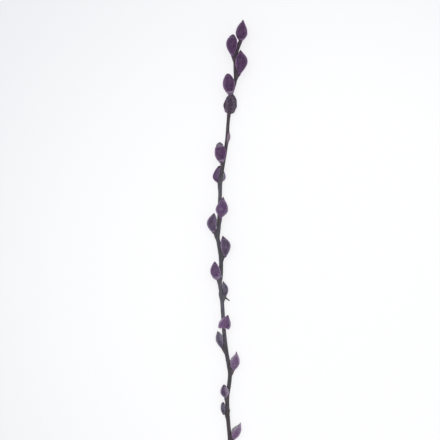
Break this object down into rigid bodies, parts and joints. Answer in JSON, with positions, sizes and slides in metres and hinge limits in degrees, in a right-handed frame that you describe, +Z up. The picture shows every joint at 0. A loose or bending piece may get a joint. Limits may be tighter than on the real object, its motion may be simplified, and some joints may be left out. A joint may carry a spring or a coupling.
{
  "type": "willow twig",
  "caption": "Slender willow twig in bud, lying flat: a dark bark stem with hooded purple bud scales, each round a silky catkin.",
  "frame": {"origin": "middle of the twig's outline seen from above, on the surface that it lies on", "axes": "+Y along the twig from the cut end to the tip bud, +Z up from the surface, +X to the right seen from above with the tip bud at the top"},
  "size_m": [0.0245, 0.278, 0.0113],
  "materials": {
    "bark": "thin smooth grey-brown bark with pale pores and dull sheen",
    "bud_scale": "waxy purple skin, paler at the margins and dark grey-brown at the beak",
    "catkin": "silky pale lilac-grey hairs"
  },
  "bodies": {
    "root": {"stem": "bark", "bud_scale_01": "bud_scale", "bud_scale_02": "bud_scale", "bud_scale_03": "bud_scale", "bud_scale_04": "bud_scale", "bud_scale_05": "bud_scale", "bud_scale_07": "bud_scale", "bud_scale_08": "bud_scale", "bud_scale_09": "bud_scale", "bud_scale_10": "bud_scale", "bud_scale_11": "bud_scale", "bud_scale_12": "bud_scale", "bud_scale_13": "bud_scale", "bud_scale_14": "bud_scale", "bud_scale_15": "bud_scale", "bud_scale_16": "bud_scale", "bud_scale_17": "bud_scale", "bud_scale_18": "bud_scale", "bud_scale_19": "bud_scale", "catkin_01": "catkin", "catkin_02": "catkin", "catkin_03": "catkin", "catkin_04": "catkin", "catkin_05": "catkin", "catkin_07": "catkin", "catkin_08": "catkin", "catkin_09": "catkin", "catkin_10": "catkin", "catkin_11": "catkin", "catkin_12": "catkin", "catkin_13": "catkin", "catkin_14": "catkin", "catkin_15": "catkin", "catkin_16": "catkin", "catkin_17": "catkin", "catkin_18": "catkin", "catkin_19": "catkin"}
  },
  "joints": []
}
